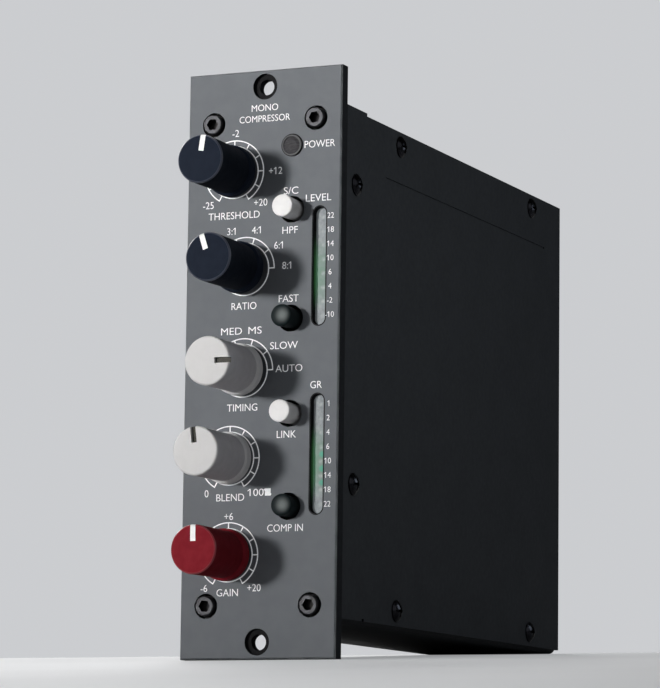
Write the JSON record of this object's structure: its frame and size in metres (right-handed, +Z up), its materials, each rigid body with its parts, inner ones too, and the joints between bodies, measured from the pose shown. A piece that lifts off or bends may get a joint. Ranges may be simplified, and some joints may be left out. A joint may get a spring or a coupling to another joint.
{
  "type": "rack compressor module",
  "caption": "Single-width rack dynamics module: flat front panel with knobs, push buttons and slot meters on a slim metal case with a rear card edge.",
  "frame": {"origin": "middle of the front panel's back (mounting) face, midway between the two rack screw holes", "axes": "+X to the right seen from the front, +Y from the front to the back, +Z up"},
  "size_m": [0.039, 0.1721, 0.1334],
  "materials": {
    "panel_paint": "satin",
    "case_paint": "satin",
    "screw_steel": "satin",
    "black_screw": "gloss",
    "brass": "satin",
    "circuit_board": "satin",
    "black_plastic": "matte",
    "component_plastic": "satin",
    "meter_diffuser": "satin",
    "lamp_resin": "gloss",
    "lamp_lens": "satin",
    "core_steel": "satin",
    "film_red": "gloss",
    "diode_glass": "gloss",
    "relay_cream": "matte",
    "trimmer_blue": "gloss",
    "navy_knob": "satin",
    "grey_knob": "satin",
    "red_knob": "satin",
    "white_inlay": "matte",
    "dark_inlay": "matte",
    "white_cap": "gloss",
    "smoke_cap": "gloss"
  },
  "bodies": {
    "chassis": {"front_panel": "panel_paint", "panel_screws": "screw_steel", "chassis_tray": "case_paint", "side_cover": "case_paint", "cover_screws": "black_screw", "panel_spacers": "brass", "control_board": "circuit_board", "main_board": "circuit_board", "edge_contacts": "brass", "board_link_header": "black_plastic", "board_standoffs": "screw_steel", "board_screws": "screw_steel", "threshold_control": "component_plastic", "ratio_switch": "component_plastic", "timing_switch": "component_plastic", "blend_control": "component_plastic", "gain_control": "component_plastic", "control_washers": "screw_steel", "control_nuts": "screw_steel", "button_switches": "black_plastic", "meter_light_bars": "meter_diffuser", "indicator_leds": "lamp_resin", "power_lens": "lamp_lens", "input_transformer": "screw_steel", "output_transformer": "core_steel", "electrolytic_capacitors": "component_plastic", "film_capacitors": "film_red", "amplifier_chips": "black_plastic", "bridge_diodes": "diode_glass", "relays": "relay_cream", "trimmers": "trimmer_blue"},
    "threshold_dial": {"threshold_knob": "navy_knob", "threshold_pointer": "white_inlay", "threshold_collet": "brass", "threshold_shaft": "screw_steel"},
    "ratio_dial": {"ratio_knob": "navy_knob", "ratio_pointer": "white_inlay", "ratio_collet": "brass", "ratio_shaft": "screw_steel"},
    "timing_dial": {"timing_knob": "grey_knob", "timing_pointer": "dark_inlay", "timing_collet": "brass", "timing_shaft": "screw_steel"},
    "blend_dial": {"blend_knob": "grey_knob", "blend_pointer": "dark_inlay", "blend_collet": "brass", "blend_shaft": "screw_steel"},
    "gain_dial": {"gain_knob": "red_knob", "gain_pointer": "white_inlay", "gain_collet": "brass", "gain_shaft": "screw_steel"},
    "sidechain_button": {"sidechain_cap": "white_cap", "sidechain_plunger": "black_plastic"},
    "fast_button": {"fast_cap": "smoke_cap", "fast_plunger": "black_plastic"},
    "link_button": {"link_cap": "white_cap", "link_plunger": "black_plastic"},
    "comp_in_button": {"comp_in_cap": "smoke_cap", "comp_in_plunger": "black_plastic"}
  },
  "joints": [
    {"name": "threshold_turn", "type": "hinge", "parent": "chassis", "child": "threshold_dial", "pos_m": [-0.0074, -0.0032, 0.0435], "axis": [0, 1, 0], "range_deg": [-158, 142]},
    {"name": "ratio_turn", "type": "hinge", "parent": "chassis", "child": "ratio_dial", "pos_m": [-0.0044, -0.0032, 0.0211], "axis": [0, 1, 0], "range_deg": [-72, 108]},
    {"name": "timing_turn", "type": "hinge", "parent": "chassis", "child": "timing_dial", "pos_m": [-0.0044, -0.0032, -0.002], "axis": [0, 1, 0], "range_deg": [-180, 0]},
    {"name": "blend_turn", "type": "hinge", "parent": "chassis", "child": "blend_dial", "pos_m": [-0.0074, -0.0032, -0.02175], "axis": [0, 1, 0], "range_deg": [-143, 157]},
    {"name": "gain_turn", "type": "hinge", "parent": "chassis", "child": "gain_dial", "pos_m": [-0.0074, -0.0032, -0.04345], "axis": [0, 1, 0], "range_deg": [-149, 151]},
    {"name": "sidechain_press", "type": "slide", "parent": "chassis", "child": "sidechain_button", "axis": [0, 1, 0], "range_m": [0, 0.0025], "stiffness_N_per_m": 300},
    {"name": "fast_press", "type": "slide", "parent": "chassis", "child": "fast_button", "axis": [0, 1, 0], "range_m": [0, 0.0025], "stiffness_N_per_m": 300},
    {"name": "link_press", "type": "slide", "parent": "chassis", "child": "link_button", "axis": [0, 1, 0], "range_m": [0, 0.0025], "stiffness_N_per_m": 300},
    {"name": "comp_in_press", "type": "slide", "parent": "chassis", "child": "comp_in_button", "axis": [0, 1, 0], "range_m": [-0.0015, 0.001], "stiffness_N_per_m": 300}
  ]
}
